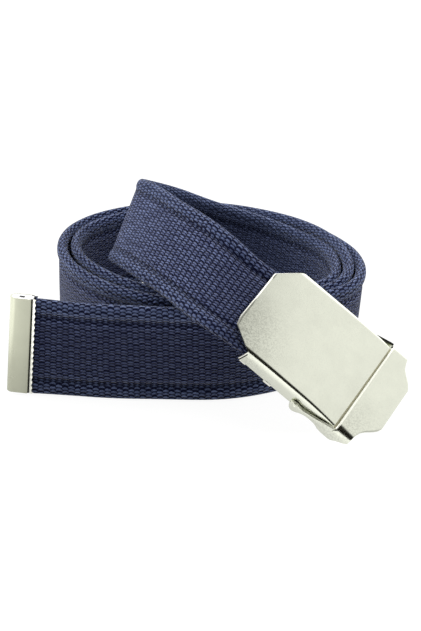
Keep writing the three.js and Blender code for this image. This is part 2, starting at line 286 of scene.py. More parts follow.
# The lever: how far it stands out past the frame at each side, its start and its folds' radius.
LEVER_OVERHANG = 1.2
LEVER_OUTSIDE = FRAME_WIDTH + LEVER_OVERHANG
LEVER_START = 50.3
LEVER_BEND = 2.6
# The chamfer at the start of the lever's plate, as deep as it is wide: at the far and near side.
LEVER_LIP = (0.65, 0.8)
# Rows of the plate past its lip, and its columns from the fold's inner end to the middle.
LEVER_ROWS = 13
LEVER_COLUMNS = [2.8, 3.4, 4.1, 4.8, 5.5, 6.5, 7.6, 8.8, 9.9, 11, 12.4, 15, 19]
# How much wider the near fold is at the start, and over what length.
LEVER_FOLD_WIDER = 1.1
LEVER_FOLD_BLEND = 9
# The lever's lip gets a painted highlight down to the first depth, and the far ear's upper rim
# painted shade down to the second.
LIP_DEPTH = 1.2
FAR_EAR_DARK = 4.3
# Half of the lever plate's end. Columns: distance in from the lever's outer side, distance along.
LEVER_END = [
    (0, 57.3), (2.5, 57.4), (4.1, 57.9), (5.5, 58.4), (6.5, 59.1),
    (7.6, 60.1), (8.8, 61.4), (9.9, 62.5), (11, 63.3), (12.4, 63.9),
]
# The lever ear under its fold. Columns: distance along, depth under the face.
EAR_OUTLINE = [
    (57.2, 3), (56.2, 4.3), (53.6, 6.6), (52.5, 8), (51.4, 8.5), (47.7, 8.3),
    (46.1, 7.9), (45, 7.1), (43.6, 6.5), (41.2, 6.3), (39.5, 6.6), (37.9, 7.5),
    (36.6, 8.8), (35.4, 9.6), (34.3, 9.5), (33.4, 8.5), (32.8, 7.1), (32.5, 5.7),
    (32.8, 4.7), (33.7, 4), (34.9, 4), (36.3, 4.5), (37.8, 4.7), (40.4, 4),
    (43, 3.3), (46, 2.1), (49.2, 0.9), (50.1, 0.8), (50.2, 2.5),
]

# The clamp's plate and its tabs. Columns: start and end along, top and bottom depth, spans across.
JAW_EDGE = 1.2
JAW_TAB_WIDE = 1.6
JAW_PLATE = [(JAW_EDGE, FRAME_WIDTH - JAW_EDGE)]
JAW_TABS = [(0, JAW_TAB_WIDE), (FRAME_WIDTH - JAW_TAB_WIDE, FRAME_WIDTH)]
JAW_BLOCKS = [
    (12.5, 25.5, 6.4, 7.3, JAW_PLATE),
    (20.6, 24.0, 6.5, 8.9, JAW_TABS),
    (9.4, 12.3, 7.0, 8.3, JAW_TABS),
]

# How far the foot of the free end stands out to the left, and over what length that fades out.
TIP_LEAN = 0.55
TIP_LEAN_LENGTH = 42
# The cap on the free end: its sheet, half height, place over the strap's middle, and rows of its grid.
TIP_SHEET = 0.45
TIP_HALF_HIGH = 19.2
TIP_LIFT = 0.9
TIP_ROWS = 69
# Half of the tip's section, from its biting lip over the groove to the fold. Columns: distance in,
# half thickness.
TIP_SECTION = [
    (7.1, 2.5), (6.9, 2.4), (6.6, 2.1), (6.35, 1.95), (6.1, 1.95),
    (5.75, 1.95), (5.7, 2.3), (5.5, 2.48), (5.2, 2.5), (3.6, 2.5),
    (1.8, 2.5),
]
# The first and last row of that section in the groove.
TIP_GROOVE = (3, 6)
# How far the teeth stand out, in how many rows of the section, and how many heights each has.
TIP_TOOTH = 0.3
TIP_TOOTH_DEEP = 2
TIP_TOOTH_ROWS = 4
# A flap over an end of the cap: its corner at the lip, and the slot and notch between two flaps.
# Columns: distance in, half width.
FLAP_SLOT = 0.06
FLAP_CORNER = [(6.2, 1.8), (5.6, 1.8)]
FLAP_CORNER_IN = 5.5
FLAP_NOTCH = [(0.8, FLAP_SLOT), (1.0, 0.8), (2.8, 0.8), (3.0, FLAP_SLOT), (6.2, FLAP_SLOT)]
FLAP_INSIDE = 0.2
FLAP_SUNK = 0.05
# The cloth is narrower and lifted inside the cap, between these distances from its end.
TIP_NARROWER = 0.045
TIP_CLOTH_LIFT = 0.5
TIP_CLOTH_BLEND = (6.0, 7.4)
# The cloth is a little wider beside the cap, over this length.
TIP_WIDER = 0.03
TIP_WIDER_LENGTH = 24

# How evenly the floor is lit, by the light path's output: to the camera, in bounced light and in
# mirrors. Its places are in metres.
FLOOR_SIZE = 12
FLOOR_COLOUR = (0.6, 0.6, 0.59)
FLOOR_EVEN = {0: 0.8, 2: 0.42, 3: 0.55}
FLOOR_GLOW = 1.16
# The floor glows brighter in front of the belt and to its left: painted pools of light, seen in the
# metal.
FLOOR_FRONT = (-0.066, -0.085)
FLOOR_FRONT_BRIGHTER = 0.5
FLOOR_LEFT = (-0.1, -0.14)
FLOOR_LEFT_BRIGHTER = 1.6
# The tent: its left side, and the sides that pass over it one by one. Columns: part of the direction,
# where the side starts and where it is full, colour.
TENT_LEFT = (1.7, 1.7, 1.68)
TENT_SIDES = [
    (0, -0.1, 0.35, (1.08, 1.08, 1.06)),
    (1, 0.1, 0.45, (1.8, 1.8, 1.78)),
    (2, 0.77, 0.93, (0.3, 0.3, 0.29)),
]
TENT_FRONT = (0.012, 0.011, 0.008)
TENT_FRONT_Y = (-0.24, -0.5)
TENT_FRONT_Z = (0.0, 0.03)
# In metres and watts. Columns: name, place, aim, size, power.
LAMPS = [
    ("top_light", (0.1, 0.1, 1.1), (0.0, -0.02, 0.0), 0.9, 6),
    ("left_light", (-0.95, 0.25, 0.6), (0.0, -0.02, 0.03), 0.6, 6),
    ("right_light", (0.95, 0.15, 0.5), (0.0, -0.02, 0.03), 0.6, 5),
]


# Shader maths written as plain sums.
class Value:
    """A socket of a material's tree that can be added, multiplied and so on."""

    def __init__(self, look, socket):
        self.look = look
        self.socket = socket

    def maths(self, operation, *values):
        return self.look.add("ShaderNodeMath", self, *values, operation=operation)

    def __add__(self, other):
        return self.maths("ADD", other)

    def __sub__(self, other):
        return self.maths("SUBTRACT", other)

    def __rsub__(self, other):
        return self.look.add("ShaderNodeMath", other, self, operation="SUBTRACT")

    def __mul__(self, other):
        return self.maths("MULTIPLY", other)

    __radd__ = __add__
    __rmul__ = __mul__

    def between(self, low, high):
        """0 below low, 1 above high and smooth in between."""
        step = {"interpolation_type": "SMOOTHSTEP"}
        return self.look.add("ShaderNodeMapRange", self, low, high, 0.0, 1.0, **step)

    def between_mm(self, low, high):
        return self.between(low * MM, high * MM)


class Look:
    """A material or a world that is built node by node."""

    def __init__(self, owner):
        self.owner = owner
        owner.use_nodes = True
        self.tree = owner.node_tree
        self.tree.nodes.clear()

    def add(self, kind, *values, out=0, named=None, **settings):
        """Adds a node: its settings first, then its sockets in order or by name."""
        node = self.tree.nodes.new(kind)
        for key, value in settings.items():
            setattr(node, key, value)
        pairs = list(zip(node.inputs, values))
        pairs += [(node.inputs[key], value) for key, value in (named or {}).items()]
        for socket, value in pairs:
            if isinstance(value, Value):
                self.tree.links.new(value.socket, socket)
            elif isinstance(value, tuple):
                socket.default_value = (*value, 1.0)
            elif value is not None:
                socket.default_value = value
        return Value(self, node.outputs[out])

    def place(self):
        return self.add("ShaderNodeTexCoord", out=3)

    def parts(self, vector=None):
        """The x, y and z of a vector, or else of the place on the object."""
        node = self.tree.nodes.new("ShaderNodeSeparateXYZ")
        self.tree.links.new((vector or self.place()).socket, node.inputs[0])
        return [Value(self, socket) for socket in node.outputs]

    def noise(self, scale, detail=2.0, at=None, rough=0.5):
        sockets = {"Scale": scale, "Detail": detail, "Roughness": rough}
        sockets["Vector"] = at or self.place()
        return self.add("ShaderNodeTexNoise", named=sockets)

    def mix(self, factor, first, second):
        """A mix of two colours, which are the node's seventh and eighth sockets."""
        skipped = [None] * 5
        return self.add("ShaderNodeMix", factor, *skipped, first, second, out=2, data_type="RGBA")

    def tint(self, factor, colour, tint):
        """Mixes a tint, which is a full share and a colour, over another colour."""
        share, over = tint
        return self.mix(factor * share, colour, over)

    def bump(self, height, strength, distance):
        sockets = {"Strength": strength, "Distance": distance, "Height": height}
        return self.add("ShaderNodeBump", named=sockets)

    def end(self, surface, kind="ShaderNodeOutputMaterial"):
        output = self.tree.nodes.new(kind)
        self.tree.links.new(surface.socket, output.inputs[0])
        return self.owner

    def finish(self, **sockets):
        """Ends the material in one glossy or matt surface."""
        named = {key.replace("_", " "): value for key, value in sockets.items()}
        return self.end(self.add("ShaderNodeBsdfPrincipled", named=named))


def woven_ribs(look, uv, along, across, rolled):
    """Short fat ribs in bricks and in pairs. Gives their height, the place in a rib from end to end,
    -0.5 to 0.5, and a chance number for each rib."""
    wander = look.noise(WANDER_SCALE, 1.0, uv) - 0.5
    drift = look.noise(DRIFT_SCALE, 1.0, uv) - 0.5
    column_at = along * (1 / (CELL_LONG * MM)) + wander * WANDER[0] + drift * DRIFT[0]
    column = column_at.maths("FLOOR")
    odd = column.maths("MODULO", 2.0)
    in_column = column_at - column - 0.5
    arch = in_column * in_column * RIB_ARCH
    row_at = across * (1 / (CELL_HIGH * MM)) * (1 - rolled * (1 - 1 / ROLL_WIDER))
    row_at = row_at + odd * 0.5 + arch + drift * DRIFT[1] + wander * WANDER[1]
    row = row_at.maths("FLOOR")
    in_row = row_at - row - 0.5
    pair_at = row_at * 0.5
    from_pair = (pair_at - pair_at.maths("FLOOR") - 0.5).maths("ABSOLUTE")
    ends = along.between_mm(*OPENED) * RIB_ENDS_OPENED + RIB_ENDS
    fall = in_column * in_column * ends + in_row * in_row * RIB_SIDES
    rib = (1 - fall).maths("MAXIMUM", 0.0) * (1 - from_pair.between(*PAIR_GAP))
    cell = look.add("ShaderNodeCombineXYZ", column, row)
    chance = look.add("ShaderNodeTexWhiteNoise", cell)
    return rib, in_column, chance


def stitch_hole_shade(from_middle, in_column, chance):
    """Painted shade in the stitch holes of the groove inside each roll."""
    hole = in_column.maths("ABSOLUTE").between(*HOLE_SHADE_REACH) * (chance * 0.5 + 0.5)
    hole = hole * (1 - STITCH_BRIDGE) + STITCH_BRIDGE
    from_groove = (from_middle - GROOVE_CLOTH * MM).maths("ABSOLUTE")
    return from_groove.between_mm(*HOLE_SHADE_WIDE) * hole


def filled(value, share):
    """Raises a value towards 1 by a share of what it lacks."""
    return value * (1 - share) + share


def canvas_look():
    """Navy cotton webbing with a little fuzz, painted shade in the gaps between its ribs, in its stitch
    holes, in the coil's thin middle and at the strap's end, and painted light on its rolled edges and
    on the back of the coil.
    """
    look = Look(bpy.data.materials.new("navy_canvas"))
    uv = look.add("ShaderNodeUVMap", uv_map="weave")
    along, across, _ = look.parts(uv)
    from_middle = across.maths("ABSOLUTE")
    rolled = from_middle.maths("GREATER_THAN", GROOVE_CLOTH * MM)
    rib, in_column, chance = woven_ribs(look, uv, along, across, rolled)
    fuzz = look.noise(FUZZ_SCALE, 3.0, rough=0.7)
    strand = look.noise(STRAND_SCALE, 2.0, uv)
    blotch = look.noise(BLOTCH_SCALE, 2.0)
    x, y, _ = look.parts()
    back = y.between_mm(*BACK_Y) * x.between_mm(*BACK_X)
    strap = along.between_mm(*STRAP_ALONG) * along.between_mm(*COIL_ALONG[::-1])
    inner = from_middle.between_mm(*THIN_ACROSS) * along.between_mm(*COIL_ALONG)
    thread = look.mix(chance * RIB_CONTRAST, *RIB_COLOURS)
    # Painted highlight on the rolled edges.
    thread = look.tint(rolled, thread, ROLL_HIGHLIGHT_TINT)
    thread = look.tint(strand - STRAND_FROM, thread, STRAND_TINT)
    thread = look.tint(blotch - BLOTCH_FROM, thread, BLOTCH_TINT)
    thread = look.tint(along.between_mm(*SHADED_ALONG), thread, SHADED_TINT)
    # Painted shade in the stitch holes.
    thread = look.tint(stitch_hole_shade(from_middle, in_column, chance), thread, STITCH_HOLE_SHADE_TINT)
    # Painted shade in the thin middle of the coil, away from its back.
    thread = look.tint(inner * (1 - back), thread, COIL_MIDDLE_SHADE_TINT)
    # Painted light on the back of the coil.
    thread = look.tint(back, thread, BACK_LIGHT_TINT)
    # Painted shade in the gaps below the rib tops, lifted at the back and on the strap.
    shown = filled(rib.between(*GAP_HEIGHT), back * BACK_FILLED)
    shown = filled(shown, strap * STRAP_FILLED)
    height = rib * RIB_RELIEF + strand * STRAND_RELIEF + fuzz * FUZZ_RELIEF
    return look.finish(
        Base_Color=look.mix(shown, RIB_GAP_SHADE, thread),
        Roughness=0.92,
        Specular_IOR_Level=0.07,
        Sheen_Weight=0.2,
        Sheen_Roughness=0.3,
        Normal=look.bump(height, 1.0, CLOTH_RELIEF * MM),
    )


def nickel_look(name, colour=NICKEL_COLOUR, speckle=0.5, roughness=0.2, shade_patch=None, shaded=None):
    """Satin nickel: a pale warm grey metal with fine speckle, faint stains, maybe patches of painted
    shade round a place and maybe painted shade on its right side."""
    look = Look(bpy.data.materials.new(name))
    grain = look.noise(SPECK["scale"], 3.0, rough=0.65)
    stain = look.noise(STAIN["scale"], 3.0, rough=0.6)
    stained, specked, shadow_colour = (
        tuple(part * zone["left"] for part in colour) for zone in (STAIN, SPECK, SHADE_PATCHES)
    )
    shade = look.mix(stain.between(*STAIN["range"]), colour, stained)
    shade = look.mix(grain.between(*SPECK["range"]) * speckle, shade, specked)
    # Painted shade in patches round a place on the face or the lever.
    if shade_patch:
        spot = BUCKLE @ Vector(buckle_point(*shade_patch["at"], 0)[0])
        away = look.add("ShaderNodeVectorMath", look.place(), spot, out=1, operation="DISTANCE")
        spots = look.noise(SHADE_PATCHES["scale"], 3.0, rough=0.8).between(*SHADE_PATCHES["range"])
        share = away.between_mm(shade_patch["reach"], 0.0) * filled(spots, SHADE_PATCHES["least"])
        shade = look.tint(share, shade, (shade_patch["dark"], shadow_colour))
    # Painted shade towards the right.
    if shaded:
        x, _, _ = look.parts()
        share = x.between_mm(shaded["from"], shaded["to"])
        shade = look.tint(share, shade, (shaded["dark"], shadow_colour))
    plain, more = METAL_GRAIN
    return look.finish(
        Base_Color=shade,
        Metallic=1.0,
        Roughness=stain * STAIN["rougher"] + roughness,
        Normal=look.bump(grain, plain + speckle * more, METAL_RELIEF * MM),
    )


# Modelling as by hand: a primitive is added, laid out, thickened, rounded and finished.
def mode(name):
    bpy.ops.object.mode_set(mode=name)


def deselect():
    if bpy.context.object and bpy.context.object.mode != "OBJECT":
        mode("OBJECT")
    bpy.ops.object.select_all(action="DESELECT")


def pick(obj):
    """Selects one object alone and makes it the active one."""
    deselect()
    obj.select_set(True)
    bpy.context.view_layer.objects.active = obj


def named(obj, name):
    obj.name = name
    obj.data.name = name
    return obj


def primitive(name, operator, **settings):
    deselect()
    operator(**settings)
    return named(bpy.context.object, name)


def places_of(obj):
    flat = np.empty(len(obj.data.vertices) * 3)
    obj.data.vertices.foreach_get("co", flat)
    return flat.reshape(-1, 3)


def lay_out(obj, places):
    obj.data.vertices.foreach_set("co", np.asarray(places, float).ravel())
    obj.data.update()


def grid(name, rows, columns):
    """A grid primitive, with the row and the column of each of its vertices."""
    add = bpy.ops.mesh.primitive_grid_add
    obj = primitive(name, add, x_subdivisions=columns - 1, y_subdivisions=rows - 1, size=1)
    at = places_of(obj) + 0.5
    column = np.rint(at[:, 0] * (columns - 1)).astype(int)
    row = np.rint(at[:, 1] * (rows - 1)).astype(int)
    return obj, row, column


def polygon(name, places):
    """A filled outline."""
    add = bpy.ops.mesh.primitive_circle_add
    obj = primitive(name, add, vertices=len(places), fill_type="NGON")
    lay_out(obj, places)
    return obj


def edit(obj, *steps):
    """Runs operators in edit mode with everything selected before each."""
    pick(obj)
    mode("EDIT")
    for operator, settings in steps:
        bpy.ops.mesh.select_all(action="SELECT")
        operator(**settings)
    mode("OBJECT")


def merged(distance=FINE_WELD):
    return bpy.ops.mesh.remove_doubles, {"threshold": distance}


def outward():
    return bpy.ops.mesh.normals_make_consistent, {"inside": False}


def join(name, *parts):
    deselect()
    for part in parts:
        part.select_set(True)
    bpy.context.view_layer.objects.active = parts[0]
    bpy.ops.object.join()
    return named(parts[0], name)


def modify(obj, kind, **settings):
    """Adds a modifier and applies it."""
    pick(obj)
    modifier = obj.modifiers.new(kind.lower(), kind)
    for key, value in settings.items():
        setattr(modifier, key, value)
    bpy.ops.object.modifier_apply(modifier=modifier.name)


def round_edges(obj, width, segments=2, angle=38):
    modify(
        obj,
        "BEVEL",
        width=width * MM,
        segments=segments,
        limit_method="ANGLE",
        angle_limit=math.radians(angle),
        harden_normals=False,
    )


def smooth(obj, angle):
    pick(obj)
    bpy.ops.object.shade_smooth_by_angle(angle=math.radians(angle))


def sheet_metal(obj, thickness):
    """Gives a bent sheet with outward faces its thickness on the inner side."""
    modify(obj, "SOLIDIFY", thickness=thickness * MM, offset=-1, use_even_offset=True)


def thicken_down(obj, thickness):
    """Gives a flat piece its thickness below, whichever way its faces point."""
    edit(obj, outward())
    upward = obj.data.polygons[0].normal.z > 0
    modify(obj, "SOLIDIFY", thickness=thickness * MM, offset=-1 if upward else 1)
    edit(obj, outward())


def give_looks(obj, *looks):
    for look in looks:
        obj.data.materials.append(look)


def over_faces(obj, value):
    """The least and the greatest of a value of the vertices, over each face."""
    corners = [value[list(face.vertices)] for face in obj.data.polygons]
    return np.array([(part.min(), part.max()) for part in corners]).T


def paint(obj, look, chosen):
    """Gives the chosen faces a material that their object already has."""
    index = obj.data.materials.find(look.name)
    for face in np.flatnonzero(chosen).tolist():
        obj.data.polygons[face].material_index = index


def wear(obj, look, body, slot, *nodes):
    """Gives a piece its material if it has none yet, its body and the nodes it stands for. The slot is
    not used.
    """
    if look:
        obj.data.materials.clear()
        give_looks(obj, look)
    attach(obj, body)
    if nodes:
        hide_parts(*nodes)


# The webbing.
def run_length(points):
    """The distance from the first point to each of the others, along them."""
    return np.concatenate([[0], np.cumsum(np.linalg.norm(np.diff(points, axis=0), axis=1))])


def standing_row(x, y, lean_x, lean_y, lift):
    """A row like those of LIFTED_ROWS, where the webbing stands on its lower edge."""
    height = math.sqrt(WEB_WIDTH**2 - lean_x**2 - lean_y**2)
    return [x, y, height / 2 + lift, lean_x, lean_y, height]


def route_rows():
    """The whole route, as LIFTED_ROWS gives its first part: then the turns and the free end."""
    rows = [list(row) for row in LIFTED_ROWS]
    turns = len(TURN_ROWS)
    for step in range(TURN_STEPS):
        x, y, lean_x, lean_y, gap, lift = TURN_ROWS[step % turns]
        before = TURN_ROWS[(step - 1) % turns]
        after = TURN_ROWS[(step + 1) % turns]
        out = np.array([after[1] - before[1], before[0] - after[0]], float)
        out /= np.linalg.norm(out)
        here = np.array([x, y], float)
        if out @ (here - COIL_CENTRE) < 0:
            out = -out
        here += out * gap * step / turns
        rows.append(standing_row(*here, lean_x, lean_y, lift if step in LIFT_STEPS else 0))
    rows += [standing_row(*row) for row in FREE_ROWS]
    return np.array(rows, float)


def spline(at, rows, stations):
    """Natural cubic spline through the rows at the given stations."""
    gap = np.diff(at)
    slope = np.diff(rows, axis=0) / gap[:, None]
    count = len(at)
    matrix = np.eye(count)
    right = np.zeros_like(rows)
    for i in range(1, count - 1):
        matrix[i, i - 1] = gap[i - 1]
        matrix[i, i] = 2 * (gap[i - 1] + gap[i])
        matrix[i, i + 1] = gap[i]
        right[i] = 6 * (slope[i] - slope[i - 1])
    bend = np.linalg.solve(matrix, right)
    i = np.clip(np.searchsorted(at, stations) - 1, 0, count - 2)
    wide = gap[i][:, None]
    near = (at[i + 1] - stations)[:, None] / wide
    far = 1 - near
    curve = (near**3 - near) * bend[i] + (far**3 - far) * bend[i + 1]
    return near * rows[i] + far * rows[i + 1] + curve * wide**2 / 6


def webbing_path():
    """Middle points, across and normal directions at even stations, and where it is free of the clamp
    and the tip, from 0 to 1."""
    rows = route_rows()
    at = run_length(rows[:, :3])
    count = int(round(at[-1] / STATION_STEP / STITCH_STATIONS)) * STITCH_STATIONS + 1
    stations = np.linspace(0, at[-1], count)
    path = spline(at, rows, stations)
    ahead = spline(at, rows, np.minimum(stations + TANGENT_REACH, at[-1]))[:, :3]
    behind = spline(at, rows, np.maximum(stations - TANGENT_REACH, 0))[:, :3]
    across = path[:, 3:] / WEB_WIDTH
    normal = np.cross(ahead - behind, across)
    normal /= np.linalg.norm(normal, axis=1)[:, None]
    from_buckle = (stations - PRESSED_LENGTH["buckle"]) / PRESSED_LENGTH["blend"]
    from_tip = (at[-1] - PRESSED_LENGTH["tip"] - stations) / PRESSED_LENGTH["blend"]
    free = np.clip(np.minimum(from_buckle, from_tip), 0, 1)
    return path[:, :3] - MIDDLE, across, normal, free


def section():
    """The whole section as distance across, half thickness and cloth distance from the middle."""
    half = np.array(HALF_SECTION)[::-1]
    quarter = np.column_stack([half, run_length(half)])
    upper = np.vstack([quarter[::-1], quarter[1:] * [-1, 1, -1]])
    lower = upper[::-1][1:] * [1, -1, 1]
    return np.vstack([upper, lower])


def swelling(count):
    """How much the rolls swell at each station: a slow random wander."""
    rng = np.random.default_rng(SWELL_SEED)
    knots = np.arange(0, count + SWELL_STATIONS, SWELL_STATIONS)
    return np.interp(np.arange(count), knots, rng.normal(0, 1, count // SWELL_STATIONS + 2))


def cloth_thickness(row, distance, half, swell, free):
    """The signed half thickness of each point, with its stitches, rolls, fold and pressed ends."""
    side = np.sign(half)
    near_groove = np.clip(1 - np.abs(np.abs(distance) - GROOVE_ACROSS) / GROOVE_HALF_WIDE, 0, 1)
    hole = np.where(row % STITCH_STATIONS == 0, 1.0, STITCH_BRIDGE)
    rolled = np.clip((np.abs(distance) - ROLL_FROM) / ROLL_BLEND, 0, 1)
    thick = half - side * near_groove * hole * STITCH_DEEP
    thick = thick + side * rolled * (ROLL_SWELL * swell[row] - ROLL_PINCH * hole)
    at_fold = np.clip(1 - np.abs(row * STATION_STEP - FOLD_AT) / FOLD_REACH, 0, 1)
    fuller = side * np.maximum(np.abs(thick), FOLD_HALF)
    inside = np.abs(distance) < FOLD_ACROSS
    thick = np.where(inside, thick + (fuller - thick) * np.minimum(at_fold * 2, 1), thick)
    pressed = side * np.minimum(np.abs(thick), PRESSED_HALF)
    return pressed + (thick - pressed) * free[row]


def weave_map(obj, row, cloth, station):
    """The UV map of the weave, in metres along and across the cloth."""
    stretch = np.interp(station, *np.array(STRETCH).T)
    woven = np.concatenate([[0], np.cumsum(np.diff(station) / stretch[1:])])
    uv = np.column_stack([woven[row], cloth]) * MM
    layer = obj.data.uv_layers[0]
    layer.name = "weave"
    corner = np.empty(len(obj.data.loops), int)
    obj.data.loops.foreach_get("vertex_index", corner)
    layer.data.foreach_set("uv", uv[corner].ravel())


def close_ends(obj):
    """Fills the open ends of a tube."""
    pick(obj)
    mode("EDIT")
    bpy.ops.mesh.select_all(action="DESELECT")
    bpy.ops.mesh.select_mode(type="EDGE")
    bpy.ops.mesh.select_non_manifold()
    bpy.ops.mesh.edge_face_add()
    bpy.ops.mesh.select_mode(type="VERT")
    mode("OBJECT")


def webbing():
    """The whole strap as one closed tube, and its length."""
    middle, across, normal, free = webbing_path()
    rim = section()
    obj, row, column = grid("webbing_cloth", len(middle), len(rim))
    distance, half, cloth = rim[column].T
    thick = cloth_thickness(row, distance, half, swelling(len(middle)), free)
    left = (len(middle) - 1 - row) * STATION_STEP
    inner, outer = TIP_CLOTH_BLEND
    at_tip = np.clip((outer - left) / (outer - inner), 0, 1)
    beside = np.clip(1 - left / TIP_WIDER_LENGTH, 0, 1) * (1 - at_tip)
    distance = distance * (1 - TIP_NARROWER * at_tip + TIP_WIDER * beside) + TIP_CLOTH_LIFT * at_tip
    places = middle[row] + across[row] * distance[:, None] + normal[row] * thick[:, None]
    leaning = np.clip((TIP_LEAN_LENGTH - left) / (TIP_LEAN_LENGTH - outer), 0, 1)
    places[:, 0] -= TIP_LEAN * (1 - places[:, 2] / WEB_WIDTH) * leaning**2
    places[:, 2] = np.maximum(places[:, 2], FLOOR_CLEAR)
    lay_out(obj, places * MM)
    station = run_length(middle)
    weave_map(obj, row, cloth, station)
    edit(obj, merged(WELD))
    close_ends(obj)
    edit(obj, outward())
    smooth(obj, angle=60)
    return obj, station[-1]


# The buckle, modelled in its own frame and then put in its place.
BUCKLE = Matrix.Translation(Vector((BUCKLE_PLACE - MIDDLE) * MM)) @ Euler(
    [math.radians(turn) for turn in BUCKLE_TURN], "XYZ"
).to_matrix().to_4x4()


def buckle_point(along, across, depth):
    """Places in the buckle's frame, in metres, from millimetres along, across and down."""
    return np.column_stack(np.broadcast_arrays(along, -np.asarray(across), -np.asarray(depth))) * MM


def buckle_faces(obj):
    """For all faces of a piece in the buckle's frame: distance along, across and depth of the middle in
    millimetres, and the normal's parts ahead, to the side and up."""
    places = np.array([face.center for face in obj.data.polygons]) / MM * [1, -1, -1]
    normals = np.array([face.normal for face in obj.data.polygons])
    return (*places.T, *normals.T)


def into_buckle(obj, angle=40):
    """Moves a piece from the buckle's frame to its place and smooths it."""
    obj.data.transform(BUCKLE)
    smooth(obj, angle)


def bend_profile(bend, steps):
    """A rounded fold from a side to the plate. Columns: distance inward, depth."""
    turn = np.linspace(0, math.pi / 2, steps)
    return np.column_stack([1 - np.cos(turn), 1 - np.sin(turn)]) * bend


def belt_end(across):
    """Where the plate starts along the buckle, with its two cut corners."""
    far = CHAMFER_LONG["far"] * (1 - across / CHAMFER_FAR)
    near = CHAMFER_LONG["near"] * (1 - (FRAME_WIDTH - across) / CHAMFER_NEAR)
    return np.clip(np.maximum(far, near), 0, CHAMFER_LONG["near"])


def sag(along, across):
    """How far the plate bends down towards its ends."""
    depth = 0
    for start, end, *corners in SAGS:
        share = np.clip((along - start) / (end - start), 0, 1) ** 2
        depth = depth + share * np.interp(across, [0, FRAME_WIDTH], corners)
    return depth


def channel_profile():
    """Half of the channel's section, as shares. Columns: of the fold's radius, of the way to the cut
    corner and of the way to the middle, inward; of the radius and of the wall's depth, downward."""
    rows = [(0, 0, 0, share, 1 - share) for share in (0, 0.33, 0.66)]
    for turn in np.linspace(0, math.pi / 2, 9):
        rows.append((1 - math.cos(turn), 0, 0, 1 - math.sin(turn), 0))
    rows += [(1 - share, share, 0, 0, 0) for share in (0.06, 0.3, 0.65, 1)]
    rows += [(0, 1 - share, share, 0, 0) for share in (0.25, 0.5, 0.75)]
    return np.array(rows, float)


def channel_laid(along, share, near, at_start):
    """Distance across and depth of the channel's points, by their shares of its section."""
    ends = [CHAMFER_LONG["far"], FRAME_LENGTH]
    of_radius, of_corner, of_middle, down_radius, down_wall = share.T
    wall = np.where(near, 0, np.interp(along, ends, FAR_WALL))
    bend = np.where(near, np.interp(along, ends, NEAR_BEND), np.interp(along, ends, FAR_BEND))
    corner = np.where(near, CHAMFER_NEAR, CHAMFER_FAR - wall)
    inward = of_radius * bend + of_corner * corner + of_middle * (FRAME_WIDTH / 2 - wall)
    across = np.where(near, FRAME_WIDTH - inward, wall + inward)
    drawn = np.where(near, NEAR_FOLD_DEEPER - 1, 0) * (1 - NEAR_FOLD_FROM)
    lower = np.clip((down_radius - NEAR_FOLD_FROM) / (1 - NEAR_FOLD_FROM), 0, 1)
    lower = np.where(down_wall > 0, down_radius, lower)
    deep = np.interp(along, *np.array(WALL_EDGE).T)
    depth = (down_radius + lower * drawn) * bend + down_wall * deep
    dropped = EDGE_DROP * at_start * (across < FRAME_WIDTH - CHAMFER_NEAR)
    return across, depth + (sag(along, across) + dropped) * (1 - down_wall)


def paint_wall_end(obj, share, in_wall):
    """A painted highlight on the edge at the belt end of the near wall, and a line of painted shade
    behind it.
    """
    bright, dark = WALL_RIM
    inside, _ = over_faces(obj, in_wall)
    first, last = over_faces(obj, share)
    last -= SAME_SHARE
    paint(obj, NICKEL_HIGHLIGHT, inside & (last <= bright))
    paint(obj, NICKEL_SHADE, inside & (first + SAME_SHARE >= bright) & (last <= dark))


def paint_belt_edge(obj):
    """The chamfer along the belt end of the plate gets a painted highlight."""
    _, across, depth, ahead, _, up = buckle_faces(obj)
    on_plate = (depth < EDGE_DEPTH) & (across < FRAME_WIDTH - CHAMFER_NEAR)
    paint(obj, NICKEL_HIGHLIGHT, on_plate & (ahead < -0.25) & (up > -0.2))


def pressed_frame():
    """Face plate with rounded folds and two side walls, from one sheet."""
    first = CHAMFER_LONG["far"]
    shares = (np.array(WALL_EDGE)[:, 0] - first) / (FRAME_LENGTH - first)
    even = np.linspace(0, 1, FRAME_ROWS)
    shares = np.unique(np.concatenate([shares, even, WALL_RIM, [FRAME_LAST_ROW]]))
    half = channel_profile()
    profile = np.vstack([half, [(0, 0, 1, 0, 0)], half[::-1]])
    obj, row, column = grid("pressed_frame", len(shares), len(profile))
    near = column > len(half)
    across, depth = channel_laid(first, profile[column], near, row == 0)
    start = belt_end(np.minimum(across + depth * near, FRAME_WIDTH))
    start = start - WALL_SLANT * depth / WALL_EDGE[0][1] * near
    along = start + (FRAME_LENGTH - start) * shares[row]
    across, depth = channel_laid(along, profile[column], near, row == 0)
    lay_out(obj, buckle_point(along, across, depth))
    give_looks(obj, NICKEL_FACE, NICKEL_HIGHLIGHT, NICKEL_SHADE)
    paint_wall_end(obj, shares[row], column >= len(profile) - WALL_COLUMNS)
    edit(obj, outward())
    sheet_metal(obj, SHEET)
    round_edges(obj, 0.3, segments=3, angle=50)
    edit(obj, merged(), outward())
    obj = join("pressed_frame", obj, frame_tongue())
    paint_belt_edge(obj)
    into_buckle(obj)
    return obj


def frame_tongue():
    """The end of the frame's sheet, stepped down under the start of the lever's plate, in a darker
    olive nickel that is painted shade in the gap.
    """
    obj, row, column = grid("frame_tongue", 2, TONGUE_COLUMNS)
    along = np.array(TONGUE_ALONG)[row]
    across = np.linspace(*TONGUE_ACROSS, TONGUE_COLUMNS)[column]
    depth = sag(FRAME_LENGTH, across) + SHEET - TONGUE_OVERLAP
    lay_out(obj, buckle_point(along, across, depth))
    thicken_down(obj, SHEET)
    give_looks(obj, NICKEL_GAP_SHADE)
    return obj


